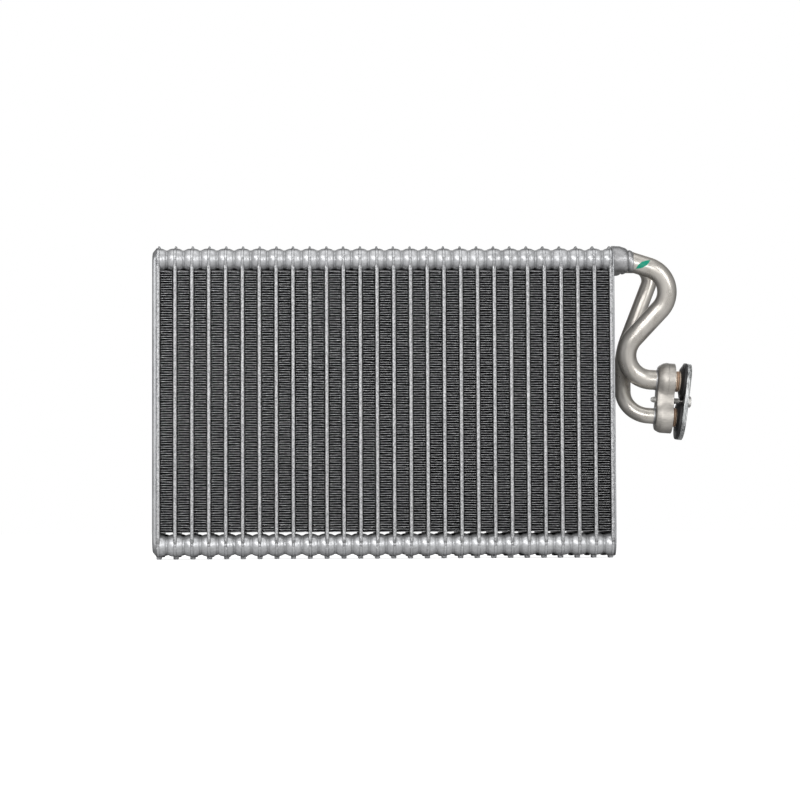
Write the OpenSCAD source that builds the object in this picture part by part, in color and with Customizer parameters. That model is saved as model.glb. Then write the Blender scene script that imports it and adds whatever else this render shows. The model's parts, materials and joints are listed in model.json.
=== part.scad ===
// Brazed plate-and-fin evaporator core with its suction and liquid pipes, connection block
// and the transport cover that is screwed over the two ports.
// X runs across the core, Y from its front to its rear face, Z up. The core stands on its lugs.

/* [Core] */
// Number of flat tubes across the core
tube_count = 28; // [6:1:31]
// Distance between the centres of neighbouring tubes
tube_pitch = 13.2; // [11.5:0.1:16]
// Thickness of a tube over its two drawn plates
tube_t = 2.6; // [2:0.1:3.4]
// Depth of the core from its front to its rear face
core_depth = 90; // [76:1:120]
// Height between the centre lines of the lower and the upper header
header_rise = 224.6; // [190:0.2:320]
// Sheet thickness of the drawn plates
plate_t = 0.5; // [0.3:0.1:0.7]
// Width of the brazed seam along the edges of a tube
seam_w = 3; // [2:0.1:4]
// Depth of the bevel that runs from a tube's faces to its thin edge
nose_w = 0.9; // [0.5:0.1:1.5]
// Thickness of a tube at its thin front and rear edges
edge_t = 1.2; // [0.8:0.1:1.6]

/* [Header cups] */
// Height of a cup where it leaves its plate
cup_h = 17.4; // [16.5:0.1:20]
// Height of a cup at its joint with the next one
joint_h = 14.8; // [12:0.1:15.5]
// Width of the straight brazed band at a joint
joint_band = 1.6; // [0.8:0.1:2.4]
// Width of the flat ring where two cups are brazed together
joint_ring = 1.2; // [0.8:0.1:2.4]
// Gap between the front and the rear cups
row_gap = 5; // [4:0.1:8]
// How far a tube's front and rear edges stand out past the cups
edge_proud = 0.8; // [0.4:0.1:1.5]
// Height of a lug above its cup
lug_h = 2.6; // [1.6:0.05:4]
// Length of a lug along the depth of the core
lug_l = 8; // [5:0.5:12]
// Width of a lug at its foot
lug_foot_w = 4.4; // [3.6:0.1:5]
// Width of a lug at its tip
lug_tip_w = 3.4; // [1.5:0.1:3.5]

/* [Fins] */
// Sheet thickness of a fin
fin_t = 0.12; // [0.08:0.01:0.2]
// Distance between neighbouring legs of a folded fin
fin_fold = 1.87; // [1.7:0.01:3]
// Length of the flat crest that is brazed to a tube
crest_w = 1.6; // [0.8:0.05:1.65]
// Setback of a fin from the front and rear faces
fin_setback = 0.6; // [0:0.1:2]
// Clearance between a fin and the upper cups
fin_top_gap = 0.15; // [0.1:0.05:1]
// Clearance between a fin and the lower cups
fin_foot_gap = 1.2; // [0.1:0.1:3]

/* [End plates] */
// Depth of the left end plate, a shallow pan
pan_depth = 3.3; // [2:0.1:6]
// Sheet thickness of the left end plate
pan_t = 1; // [0.6:0.1:1.4]
// Height of the slope along the upper and lower edges of the pan
pan_slope_h = 7; // [3:0.5:9]
// Depth of the bevel along the front and rear edges of the pan
pan_bevel = 1; // [0.4:0.1:2]
// Width of the solid rim round the hollow of the left end plate
pan_rim_w = 5.8; // [4:0.1:8]
// Thickness of the right end plate
end_t = 1.2; // [0.8:0.1:2]
// How far both end plates stand out round the cups
end_lap = 0.8; // [0.4:0.1:1.5]

/* [Pipes] */
// Height of the two outlets above the centre line of the upper header
outlet_lift = 1.4; // [0:0.1:1.8]
// Outer diameter of the suction pipe
suction_od = 16; // [14:0.1:16.6]
// Outer diameter of the liquid pipe
liquid_od = 12.7; // [10:0.1:13]
// Wall thickness of both pipes
pipe_wall = 1.2; // [0.8:0.1:1.6]
// Radius of the suction pipe's first bend
suction_bend_1 = 25; // [18:0.5:26]
// Radius of the suction pipe's second bend
suction_bend_2 = 21.4; // [18:0.2:23]
// Radius of the liquid pipe's first bend
liquid_bend_1 = 12.4; // [11:0.2:16]
// Radius of the liquid pipe's gentle middle bend
liquid_bend_2 = 40; // [30:1:50]
// Radius of the liquid pipe's last bend
liquid_bend_3 = 20.4; // [17:0.2:21.5]
// Length of an adapter outside the right end plate
adapter_l = 17.5; // [14:0.5:18]
// Wall of an adapter round its pipe
adapter_wall = 2.8; // [2:0.1:3.4]
// Length of the step inside an adapter that the pipe stops against
adapter_stop = 4; // [2:0.5:6]
// Braze clearance between a pipe and its socket, on the radius
braze_gap = 0.05; // [0.02:0.01:0.1]

/* [Connection block] */
// Distance from the last tube to the mating face, at the suction port
block_reach = 55.2; // [52:0.1:62]
// Height of the suction port above the feet
port_height = 141.2; // [130:0.1:150]
// Distance between the two ports
port_spacing = 29; // [27:0.1:32]
// Tilt of the block, its mating face turned downwards
block_tilt = 4; // [0:0.5:6]
// Thickness of the block
block_t = 13.5; // [12:0.1:16]
// Radius of the block's lobe round the suction port
suction_lobe_r = 14.4; // [13:0.1:16]
// Radius of the block's lobe round the liquid port
liquid_lobe_r = 13.2; // [12:0.1:14]
// Width of the block's waist
waist_w = 19; // [14:0.5:22]
// Depth of the sockets that the pipes are brazed into
socket_depth = 8; // [6:0.5:9]
// Diameter of the suction spigot
suction_spigot_d = 16.8; // [15:0.1:17.5]
// Diameter of the liquid spigot
liquid_spigot_d = 15.2; // [13:0.1:16]
// Length of the suction spigot
suction_spigot_l = 5.4; // [4.5:0.1:6]
// Length of the liquid spigot
liquid_spigot_l = 3.8; // [3.4:0.1:4.4]
// Diameter of the rubber that a seal ring is made of
seal_d = 2; // [1.6:0.1:2.2]

/* [Transport cover] */
// Length of the cover plate
cover_l = 62; // [60:0.5:66]
// Width of the cover plate
cover_w = 30; // [26:0.5:32]
// Thickness of the cover plate
cover_t = 3.5; // [2.5:0.1:4]
// Distance from the block's mating face to the cover plate, at the screw
cover_gap = 7.6; // [7.2:0.1:9]
// Tilt of the cover plate against the block
cover_tilt = 3.6; // [2:0.1:4.5]
// Thickness of the rubber pad's back
pad_t = 2.4; // [1.5:0.1:2.6]
// Depth by which the pad's bosses grip the spigots
pad_grip = 0.8; // [0.4:0.1:1.2]
// Diameter of the screw's shank
screw_d = 5; // [4:0.5:6]
// Length of the screw under its head
screw_l = 29; // [27:0.5:34]
// Width of the screw's hexagonal head across its flats
screw_head_w = 8; // [7:0.5:10]
// Height of the screw's head
screw_head_h = 3.5; // [2.5:0.1:4.5]
// Distance from the suction port down to the screw
screw_drop = 15.8; // [14:0.1:17]

/* [Hidden] */
// Running clearance between loose pieces
fit_gap = 0.1;
// How far a cutting shape runs past the surface that it cuts
cut = 1;
// How much a pipe narrows in its bends, on the radius, and how far a run reaches into a bend
bend_neck = 0.05;
bend_lap = 0.5;
// A direction that no straight run of a pipe follows
aside = [0, 1, 0.3];
// Facets of every full circle, and steps along the round shoulder of a cup
$fn = 64;
cup_steps = 2;

cup_r = cup_h / 2;
joint_r = joint_h / 2;
end_r = cup_r + end_lap;
lug_reach = cup_r + lug_h;
lower_z = lug_reach;
upper_z = lower_z + header_rise;
// Centre line of the front or rear cups, and the length of a cup's straight middle
row_y = (core_depth / 2 - edge_proud + row_gap / 2) / 2;
cup_mid_l = core_depth / 2 - edge_proud - row_gap / 2 - cup_h;

fin_w = tube_pitch - tube_t;
fin_foot_z = lower_z + cup_r + fin_foot_gap;
fin_h = upper_z - cup_r - fin_top_gap - fin_foot_z;
fold_count = round(fin_h / fin_fold);
fold = fin_h / fold_count;
fins_per_node = 2;
fin_count = tube_count - 1;
fin_node_count = ceil(fin_count / fins_per_node);

// The seal rings lie in grooves that leave them slightly proud of the spigots
seal_proud = 0.15;
groove_w = seal_d + 0.2;
spigot_wall = 1.2;
suction_bore = suction_spigot_d - 2 * (seal_d + spigot_wall);
liquid_bore = liquid_spigot_d - 2 * (seal_d + spigot_wall);

// The outlets stay within the hollow of the cup that they open into
outlet_z = upper_z + min(outlet_lift, cup_r - plate_t - bore_r(suction_od));

// Profile of an adapter: lengths at which its cone and its round edge end, the drop of the cone,
// and the walls of the collar round the pipe and of the tenon in the end plate
adapter_cone_at = [0.6 * adapter_l, 0.7 * adapter_l];
adapter_cone_drop = 1.3;
collar_wall = 0.75;
collar_bevel = 0.6;
tenon_wall = 0.6;

// Length and depth of the slopes that draw the block's two lobes in towards the pipes
suction_slope_l = 0.6 * block_t;
suction_slope_w = 3.2;
liquid_slope_l = 0.3 * block_t;
liquid_slope_w = 1.8;

// Radii of the pad's conical bosses at their face and at their foot
boss_face_r = 11;
boss_foot_r = 13.5;

// Clearance of the screw in the pad and the plate, and the length and diameter of its point
screw_clearance = 1;
screw_point_l = 1.6;
screw_point_d = 0.6 * screw_d;

// Farthest points of the cover plate and of the screw head, seen from the mating face
cover_tip_s = cover_gap + cover_t * cos(cover_tilt) + cover_l / 2 * sin(cover_tilt);
cover_tip_z = cover_l / 2 * cos(cover_tilt) - cover_t * sin(cover_tilt) - screw_drop;
head_chamfer = 0.4;
head_face_r = screw_head_w / 2 - head_chamfer;
head_seat_s = cover_gap + cover_t / cos(cover_tilt) + screw_head_w / sqrt(3) * tan(cover_tilt);
head_top_s = head_seat_s + screw_head_h;
cover_reach = cover_tip_s * cos(block_tilt) + cover_tip_z * sin(block_tilt);
head_reach = head_top_s * cos(block_tilt) + (head_face_r - screw_drop) * sin(block_tilt);
right_reach = block_reach + max(cover_reach, head_reach);

// The origin lies under the middle of the whole part
core_span = (tube_count - 1) * tube_pitch;
position_step = 0.001;
centring_x = (core_span + tube_t / 2 + pan_depth - right_reach) / 2;
last_x = round(centring_x / position_step) * position_step;
first_x = last_x - core_span;
end_face_x = last_x + tube_t / 2 + end_t;

// Corners of the pipe routes, where their straight runs would meet, measured from the last tube,
// and the lengths that the last runs reach back from the ports
suction_port = [last_x + block_reach, 0, port_height];
port_axis = [cos(block_tilt), 0, -sin(block_tilt)];
liquid_port = suction_port - port_spacing * [sin(block_tilt), 0, cos(block_tilt)];
suction_apex = 75.2;
suction_return = 59.9;
liquid_apex = 44.9;
liquid_knee_x = 17.1;
liquid_knee_z = 166.5;
liquid_return = 39.5;
pipe_start_x = end_face_x + adapter_stop;
socket_end = socket_depth - block_t;
suction_route = [
    [pipe_start_x, -row_y, outlet_z],
    [last_x + suction_apex, -row_y, outlet_z],
    suction_port - suction_return * port_axis,
    suction_port + socket_end * port_axis
];
liquid_route = [
    [pipe_start_x, row_y, outlet_z],
    [last_x + liquid_apex, row_y, outlet_z],
    [last_x + liquid_knee_x, row_y, liquid_knee_z],
    liquid_port - liquid_return * port_axis,
    liquid_port + socket_end * port_axis
];

// Radii of a pipe's bore and of the tenon of its adapter
function bore_r(pipe_od) = pipe_od / 2 - pipe_wall;
function tenon_r(pipe_od) = bore_r(pipe_od) + tenon_wall;

function two_digits(n) = str(n < 10 ? "0" : "", n);
function tube_name(i) = str("tube_", two_digits(i + 1));
function fin_name(i) = str("fin_pair_", two_digits(i + 1));

// Radius of a cup along X, from its plate to the band at the joint, as one round shoulder
shoulder_run = tube_pitch / 2 - joint_band / 2 - tube_t / 2;
shoulder_drop = cup_r - joint_r;
shoulder_angle = 2 * atan2(shoulder_drop, shoulder_run);
shoulder_r = shoulder_run / sin(shoulder_angle);
cup_profile = concat(
    [[0, 0], [cup_r, 0]],
    [for (j = [0:cup_steps])
        let (a = shoulder_angle * j / cup_steps)
        [cup_r - shoulder_r * (1 - cos(a)), tube_t / 2 + shoulder_r * sin(a)]],
    [[joint_r, tube_pitch / 2], [0, tube_pitch / 2]]
);
// The hollow of a cup narrows from the middle of its tube to the ring at the joint
cavity_profile = [
    [0, 0], [cup_r - plate_t, 0], [joint_r - joint_ring, tube_pitch / 2],
    [joint_r - joint_ring, tube_pitch / 2 + cut], [0, tube_pitch / 2 + cut]
];

// Turns a profile of radius and height about the X axis, over part of a turn.
// A start of 0 points down, 90 to the rear, 180 up and 270 to the front.
module turned(profile, start, sweep) {
    rotate([0, 90, 0])
        rotate([0, 0, start])
            rotate_extrude(angle = sweep)
                polygon(profile);
}

// An oblong body: two half turns of the profile and a straight piece between them
module oblong(profile) {
    mirrored = [for (k = [len(profile) - 1:-1:0]) [-profile[k][0], profile[k][1]]];
    translate([0, -cup_mid_l / 2, 0])
        turned(profile, 180, 180);
    translate([0, cup_mid_l / 2, 0])
        turned(profile, 0, 180);
    rotate([90, 0, 0])
        linear_extrude(cup_mid_l, center = true)
            polygon([for (p = concat(profile, mirrored)) [p[1], p[0]]]);
}

// Reach of a lug to one side of its tube; beside an end plate it stays within the tube
function lug_side(w, beside_plate) = (beside_plate ? min(w, tube_t) : w) / 2;

// Tab on top of a cup, wider at its foot
module lug(i) {
    foot_z = cup_r - plate_t / 2;
    first = i == 0;
    last = i == tube_count - 1;
    rotate([90, 0, 0])
        linear_extrude(lug_l, center = true)
            polygon([
                [-lug_side(lug_foot_w, first), foot_z],
                [lug_side(lug_foot_w, last), foot_z],
                [lug_side(lug_tip_w, last), lug_reach],
                [-lug_side(lug_tip_w, first), lug_reach]
            ]);
}

// Places its children at the four cups of a tube, turned over at the lower header
module at_cups() {
    for (y = [-row_y, row_y]) {
        translate([0, y, upper_z])
            children();
        translate([0, y, lower_z])
            mirror([0, 0, 1])
                children();
    }
}

// The flat middle of a tube, with bevelled front and rear edges
module tube_body() {
    edge = core_depth / 2;
    translate([0, 0, lower_z])
        linear_extrude(header_rise)
            polygon([
                [-edge_t / 2, -edge], [edge_t / 2, -edge],
                [tube_t / 2, nose_w - edge], [tube_t / 2, edge - nose_w],
                [edge_t / 2, edge], [-edge_t / 2, edge],
                [-tube_t / 2, edge - nose_w], [-tube_t / 2, nose_w - edge]
            ]);
}

// The two flow passages inside a tube, between its front, middle and rear seams
module tube_passages() {
    inner_t = tube_t - 2 * plate_t;
    passage_w = (core_depth - 3 * seam_w) / 2;
    for (y = [-1, 1])
        translate([-inner_t / 2, y * (seam_w / 2 + passage_w / 2) - passage_w / 2, lower_z])
            cube([inner_t, passage_w, header_rise]);
}

// A pair of drawn plates brazed into one flat tube with four cups.
// The end tubes have no cup on their outer side, and the last one opens into the adapters.
module core_tube(i) {
    inner_t = tube_t - 2 * plate_t;
    flat_cavity = [[0, 0], [cup_r - plate_t, 0], [cup_r - plate_t, inner_t / 2], [0, inner_t / 2]];
    color("silver")
    translate([first_x + i * tube_pitch, 0, 0])
    difference() {
        union() {
            tube_body();
            at_cups() {
                if (i < tube_count - 1)
                    oblong(cup_profile);
                if (i > 0)
                    mirror([1, 0, 0])
                        oblong(cup_profile);
                lug(i);
            }
        }
        tube_passages();
        at_cups() {
            oblong(i < tube_count - 1 ? cavity_profile : flat_cavity);
            mirror([1, 0, 0])
                oblong(i > 0 ? cavity_profile : flat_cavity);
        }
        if (i == tube_count - 1) {
            port_hole(-row_y, bore_r(suction_od));
            port_hole(row_y, bore_r(liquid_od));
        }
    }
}

// Hole through the outer wall of the last tube
module port_hole(y, r) {
    translate([0, y, outlet_z])
        rotate([0, 90, 0])
            cylinder(h = tube_t, r = r);
}

// Points of one side of the folded sheet at a crest; the outer side touches the tube.
// Crests lie to the right at odd folds and to the left at even ones.
function crest(k, upper_side) =
    let (right = k % 2 == 1,
         outer = right != upper_side,
         x = (fin_w / 2 - (outer ? 0 : fin_t)) * (right ? 1 : -1),
         half = crest_w / 2 - (outer ? 0 : fin_t))
    [[x, k * fold - half], [x, k * fold + half]];
function sheet_side(upper_side) = concat(
    [crest(0, upper_side)[1]],
    [for (k = [1:fold_count - 1]) each crest(k, upper_side)],
    [crest(fold_count, upper_side)[0]]
);
function reversed(list) = [for (k = [len(list) - 1:-1:0]) list[k]];

// One strip folded to and fro between two tubes
module fin(i) {
    translate([first_x + (i + 0.5) * tube_pitch, 0, fin_foot_z])
        rotate([90, 0, 0])
            linear_extrude(core_depth - 2 * fin_setback, center = true)
                polygon(concat(sheet_side(false), reversed(sheet_side(true))));
}

module fin_pair(n) {
    first = n * fins_per_node;
    last = min(first + fins_per_node, fin_count) - 1;
    color("gray")
    for (i = [first:last])
        fin(i);
}

// A plate's outline with corners that follow the cups, lying in the YZ plane
module rounded_slab(t) {
    flat_y = core_depth / 2 - end_r;
    profile = [[0, 0], [end_r, 0], [end_r, t], [0, t]];
    translate([0, -core_depth / 2, lower_z])
        cube([t, core_depth, header_rise]);
    for (top = [0, 1])
        translate([0, 0, top ? upper_z : lower_z])
            mirror([0, 0, 1 - top]) {
                translate([0, -flat_y, 0])
                    cube([t, 2 * flat_y, end_r]);
                translate([0, -flat_y, 0])
                    turned(profile, 180, 90);
                translate([0, flat_y, 0])
                    turned(profile, 90, 90);
            }
}

// The pan's outer form: sloped along its top and foot, bevelled at its front and rear
module pan_form(inset, depth) {
    top_z = upper_z + end_r - inset;
    foot_z = lower_z - end_r + inset;
    edge = core_depth / 2 - inset;
    lip = pan_depth - pan_bevel;
    intersection() {
        rotate([90, 0, 0])
            linear_extrude(core_depth + 2 * cut, center = true)
                polygon([
                    [0, foot_z], [0, top_z],
                    [-depth, top_z - pan_slope_h], [-depth, foot_z + pan_slope_h]
                ]);
        translate([0, 0, foot_z - cut])
            linear_extrude(top_z - foot_z + 2 * cut)
                polygon([
                    [0, -edge], [0, edge], [-min(lip, depth - inset / 2), edge],
                    [-depth, edge - pan_bevel], [-depth, pan_bevel - edge],
                    [-min(lip, depth - inset / 2), -edge]
                ]);
    }
}

module end_plate_left() {
    color("darkgray")
    translate([first_x - tube_t / 2, 0, 0])
    difference() {
        intersection() {
            pan_form(0, pan_depth);
            translate([-pan_depth, 0, 0])
                rounded_slab(pan_depth);
        }
        pan_form(pan_rim_w, pan_depth - pan_t);
    }
}

module end_plate_right() {
    color("darkgray")
    difference() {
        translate([last_x + tube_t / 2, 0, 0])
            rounded_slab(end_t);
        for (port = [[-row_y, suction_od], [row_y, liquid_od]])
            translate([last_x, port[0], outlet_z])
                rotate([0, 90, 0])
                    cylinder(h = tube_t + 2 * end_t, r = tenon_r(port[1]) + braze_gap);
    }
}

// Turned socket between the end plate and a pipe, with a tenon in the plate's hole
module adapter(y, pipe_od) {
    inner_r = bore_r(pipe_od);
    socket_r = pipe_od / 2 + braze_gap;
    body_r = pipe_od / 2 + adapter_wall;
    collar_r = pipe_od / 2 + collar_wall;
    color("lightgray")
    translate([end_face_x, y, outlet_z])
        turned([
            [inner_r, -end_t], [tenon_r(pipe_od), -end_t], [tenon_r(pipe_od), 0],
            [body_r, 0], [body_r - adapter_cone_drop, adapter_cone_at[0]],
            [collar_r, adapter_cone_at[1]], [collar_r, adapter_l - collar_bevel],
            [socket_r, adapter_l], [socket_r, adapter_stop], [inner_r, adapter_stop]
        ], 0, 360);
}

module suction_adapter() {
    adapter(-row_y, suction_od);
}

module liquid_adapter() {
    adapter(row_y, liquid_od);
}

function unit(v) = v / norm(v);
function run_dir(route, i) = unit(route[i + 1] - route[i]);
function turn_angle(route, i) = acos(run_dir(route, i - 1) * run_dir(route, i));
// Length that a bend takes off the runs on both sides of a corner
function trim(route, radii, i) =
    i == 0 || i == len(route) - 1 ? 0 : radii[i - 1] * tan(turn_angle(route, i) / 2);

// Places its children with their axes along u, v and w at a point
module framed(u, v, w, at) {
    multmatrix([
        [u[0], v[0], w[0], at[0]],
        [u[1], v[1], w[1], at[1]],
        [u[2], v[2], w[2], at[2]],
        [0, 0, 0, 1]
    ])
        children();
}

// A solid rod along a route: straight runs between its corners and a round bend at each corner.
// The bends are a little slimmer and start inside the runs. Both ends reach out by extra.
module bent_rod(route, radii, d, extra) {
    last = len(route) - 2;
    for (i = [0:last]) {
        w = run_dir(route, i);
        u = unit(cross(w, aside));
        from = i == 0 ? -extra : trim(route, radii, i) - bend_lap;
        to = i == last ? -extra : trim(route, radii, i + 1) - bend_lap;
        framed(u, cross(w, u), w, route[i] + from * w)
            cylinder(h = norm(route[i + 1] - route[i]) - from - to, d = d);
    }
    for (i = [1:last]) {
        v = run_dir(route, i - 1);
        w = unit(cross(v, run_dir(route, i)));
        u = cross(v, w);
        centre = route[i] - trim(route, radii, i) * v - radii[i - 1] * u;
        framed(u, v, w, centre)
            rotate_extrude(angle = turn_angle(route, i))
                translate([radii[i - 1], 0])
                    circle(d = d - 2 * bend_neck);
    }
}

module bent_pipe(route, radii, od) {
    difference() {
        bent_rod(route, radii, od, 0);
        bent_rod(route, radii, od - 2 * pipe_wall, cut);
    }
}

module suction_pipe() {
    color("gainsboro")
    bent_pipe(suction_route, [suction_bend_1, suction_bend_2], suction_od);
}

module liquid_pipe() {
    color("gainsboro")
    bent_pipe(liquid_route, [liquid_bend_1, liquid_bend_2, liquid_bend_3], liquid_od);
}

// In the block's frame X points out of the mating face and the suction port is the origin
module in_block() {
    translate(suction_port)
        rotate([0, block_tilt, 0])
            children();
}

// Radius of the floor of a seal groove, and the start of the groove along its spigot
function groove_r(spigot_d) = spigot_d / 2 + seal_proud - seal_d - fit_gap / 2;
function groove_start(spigot_l) = (spigot_l - groove_w) / 2;

// Spigot with its seal groove, turned round the port's axis
module spigot(d, l) {
    from = groove_start(l);
    to = from + groove_w;
    turned([
        [0, -cut], [d / 2, -cut], [d / 2, from], [groove_r(d), from],
        [groove_r(d), to], [d / 2, to], [d / 2, l], [0, l]
    ], 0, 360);
}

// One lobe of the block, its edge drawn in towards the pipe side
module lobe(r, slope_l, slope_w) {
    turned([
        [0, -block_t], [r - slope_w, -block_t], [r, slope_l - block_t], [r, 0], [0, 0]
    ], 0, 360);
}

// Socket from the pipe side and a narrower bore through the spigot
module port_bore(pipe_od, bore_d, l) {
    socket_r = pipe_od / 2 + braze_gap;
    turned([
        [0, -block_t - cut], [socket_r, -block_t - cut], [socket_r, socket_end],
        [bore_d / 2, socket_end], [bore_d / 2, l + cut], [0, l + cut]
    ], 0, 360);
}

module connection_block() {
    color("darkgray")
    in_block()
    difference() {
        union() {
            lobe(suction_lobe_r, suction_slope_l, suction_slope_w);
            spigot(suction_spigot_d, suction_spigot_l);
            translate([0, 0, -port_spacing]) {
                lobe(liquid_lobe_r, liquid_slope_l, liquid_slope_w);
                spigot(liquid_spigot_d, liquid_spigot_l);
            }
            translate([-block_t, -waist_w / 2, -port_spacing])
                cube([block_t, waist_w, port_spacing]);
        }
        port_bore(suction_od, suction_bore, suction_spigot_l);
        translate([0, 0, -port_spacing])
            port_bore(liquid_od, liquid_bore, liquid_spigot_l);
        translate([-block_t - cut, 0, -screw_drop])
            rotate([0, 90, 0])
                cylinder(h = block_t + 2 * cut, d = screw_d + 2 * braze_gap);
    }
}

// Rubber ring in the groove of a spigot
module seal_ring(spigot_d, spigot_l) {
    centre_r = groove_r(spigot_d) + fit_gap / 2 + seal_d / 2;
    color("saddlebrown")
    translate([groove_start(spigot_l) + groove_w / 2, 0, 0])
        rotate([0, 90, 0])
            rotate_extrude()
                translate([centre_r, 0])
                    circle(d = seal_d);
}

module suction_seal_ring() {
    in_block()
        seal_ring(suction_spigot_d, suction_spigot_l);
}

module liquid_seal_ring() {
    in_block()
        translate([0, 0, -port_spacing])
            seal_ring(liquid_spigot_d, liquid_spigot_l);
}

// In the cover's frame X points out of the plate's inner face and the screw is the origin
module in_cover() {
    in_block()
        translate([cover_gap, 0, -screw_drop])
            rotate([0, cover_tilt, 0])
                children();
}

// Long plate with round ends, standing on the cover's inner face or behind it
module round_ended(t) {
    middle = cover_l - cover_w;
    translate([0, -cover_w / 2, -middle / 2])
        cube([t, cover_w, middle]);
    profile = [[0, 0], [cover_w / 2, 0], [cover_w / 2, t], [0, t]];
    translate([0, 0, middle / 2])
        turned(profile, 90, 180);
    translate([0, 0, -middle / 2])
        turned(profile, -90, 180);
}

// Conical boss of the pad round the end of a spigot, with the pocket that the spigot enters
module pad_boss(spigot_l) {
    face_s = spigot_l - pad_grip;
    turned([[0, face_s], [boss_face_r, face_s], [boss_foot_r, cover_gap], [0, cover_gap]], 0, 360);
}

module pad_pocket(spigot_d, spigot_l) {
    pocket_r = spigot_d / 2 + fit_gap;
    translate([spigot_l - pad_grip - cut, 0, 0])
        rotate([0, 90, 0])
            cylinder(h = cut + pad_grip + fit_gap, r = pocket_r);
}

module seal_pad() {
    color([0.08, 0.08, 0.08])
    difference() {
        union() {
            in_cover()
                translate([-pad_t, 0, 0])
                    round_ended(pad_t);
            in_block() {
                pad_boss(suction_spigot_l);
                translate([0, 0, -port_spacing])
                    pad_boss(liquid_spigot_l);
            }
        }
        in_cover()
            translate([0, -cover_w, -cover_l])
                cube([cover_l, 2 * cover_w, 2 * cover_l]);
        in_block() {
            pad_pocket(suction_spigot_d, suction_spigot_l);
            translate([0, 0, -port_spacing])
                pad_pocket(liquid_spigot_d, liquid_spigot_l);
            screw_hole();
        }
    }
}

// Clearance hole for the screw's shank through pad and plate
module screw_hole() {
    translate([0, 0, -screw_drop])
        rotate([0, 90, 0])
            cylinder(h = head_seat_s + cut, d = screw_d + screw_clearance);
}

module cover_plate() {
    color("lightslategray")
    difference() {
        in_cover()
            round_ended(cover_t);
        in_block()
            screw_hole();
    }
}

module cover_screw() {
    color("silver")
    in_block()
    translate([head_seat_s, 0, -screw_drop])
    rotate([0, 90, 0]) {
        cylinder(h = screw_head_h - head_chamfer, d = screw_head_w * 2 / sqrt(3), $fn = 6);
        translate([0, 0, screw_head_h - head_chamfer])
            cylinder(h = head_chamfer, r1 = screw_head_w / 2, r2 = head_face_r);
        translate([0, 0, screw_point_l - screw_l])
            cylinder(h = screw_l - screw_point_l, d = screw_d);
        translate([0, 0, -screw_l])
            cylinder(h = screw_point_l, d1 = screw_point_d, d2 = screw_d);
    }
}

for (i = [0:tube_count - 1])
    core_tube(i);
for (i = [0:fin_node_count - 1])
    fin_pair(i);
end_plate_left();
end_plate_right();
suction_adapter();
liquid_adapter();
suction_pipe();
liquid_pipe();
connection_block();
suction_seal_ring();
liquid_seal_ring();
seal_pad();
cover_plate();
cover_screw();
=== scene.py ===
"""Looks of the brazed evaporator core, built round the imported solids.

Sizes are in millimetres and are turned into metres when a mesh is made.
X runs along the row of tubes, Y from the front face to the rear, Z up.
"""

import json
import math
import random

import bpy
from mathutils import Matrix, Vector

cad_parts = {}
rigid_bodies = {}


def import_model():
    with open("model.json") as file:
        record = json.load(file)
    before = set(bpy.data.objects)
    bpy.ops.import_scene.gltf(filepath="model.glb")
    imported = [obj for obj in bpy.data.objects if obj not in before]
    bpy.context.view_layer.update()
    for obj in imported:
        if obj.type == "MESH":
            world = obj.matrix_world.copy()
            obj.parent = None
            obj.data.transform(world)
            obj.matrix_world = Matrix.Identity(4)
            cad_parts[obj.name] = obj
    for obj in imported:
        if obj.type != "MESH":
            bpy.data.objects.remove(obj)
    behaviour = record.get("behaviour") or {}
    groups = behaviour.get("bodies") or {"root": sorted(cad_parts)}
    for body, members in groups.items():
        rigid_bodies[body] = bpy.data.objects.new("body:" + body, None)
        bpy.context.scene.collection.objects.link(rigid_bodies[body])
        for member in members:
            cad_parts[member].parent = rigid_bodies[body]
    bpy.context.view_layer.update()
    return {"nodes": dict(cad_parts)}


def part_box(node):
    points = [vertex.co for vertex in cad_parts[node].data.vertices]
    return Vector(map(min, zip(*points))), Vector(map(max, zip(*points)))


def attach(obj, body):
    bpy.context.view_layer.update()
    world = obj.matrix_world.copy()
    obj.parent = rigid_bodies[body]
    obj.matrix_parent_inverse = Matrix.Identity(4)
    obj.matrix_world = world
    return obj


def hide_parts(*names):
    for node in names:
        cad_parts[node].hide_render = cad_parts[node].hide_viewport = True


for leftover in list(bpy.data.objects):
    bpy.data.objects.remove(leftover)
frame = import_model()

MM = 0.001
SEED = 11
random.seed(SEED)

# Places taken from the solids


def box_mm(node):
    low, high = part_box(node)
    return [c / MM for c in low], [c / MM for c in high]


TUBE_COUNT = sum(1 for n in frame["nodes"] if n.startswith("tube_"))
FIN_PAIRS = sum(1 for n in frame["nodes"] if n.startswith("fin_pair_"))
FIN_COUNT = TUBE_COUNT - 1
low_2, high_2 = box_mm("tube_02")
PITCH = high_2[0] - low_2[0]
FIRST_X = (low_2[0] + high_2[0]) / 2 - PITCH
LAST_X = FIRST_X + (TUBE_COUNT - 1) * PITCH
HALF_DEPTH = high_2[1]

# Sizes repeated from part.scad
TUBE_T = 2.6
CUP_R = 8.7
JOINT_R = 7.4
JOINT_BAND = 1.6
LUG_REACH = 11.3
LUG_L = 8.0
LOWER_Z = LUG_REACH
UPPER_Z = high_2[2] - LUG_REACH
ROW_Y = 23.35
OUTLET_Z = UPPER_Z + 1.4
CUP_MID = 24.3
EDGE_PROUD = 0.8
END_R = 9.5
PAN_DEPTH = 3.3
END_T = 1.2
SUCTION_OD = 16.0
LIQUID_OD = 12.7
ADAPTER_L = 17.5
ADAPTER_WALL = 2.8
COLLAR_WALL = 0.75
TENON_WALL = 0.6
PIPE_WALL = 1.2
ADAPTER_STOP = 4.0
BLOCK_TILT = math.radians(4.0)
BLOCK_T = 13.5
BLOCK_REACH = 55.2
PORT_HEIGHT = 141.2
PORT_SPACING = 29.0
SOCKET_DEPTH = 8.0
COVER_GAP = 7.6
COVER_TILT = math.radians(3.6)
COVER_L = 62.0
COVER_W = 30.0
COVER_T = 3.5
PAD_T = 2.4
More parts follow.
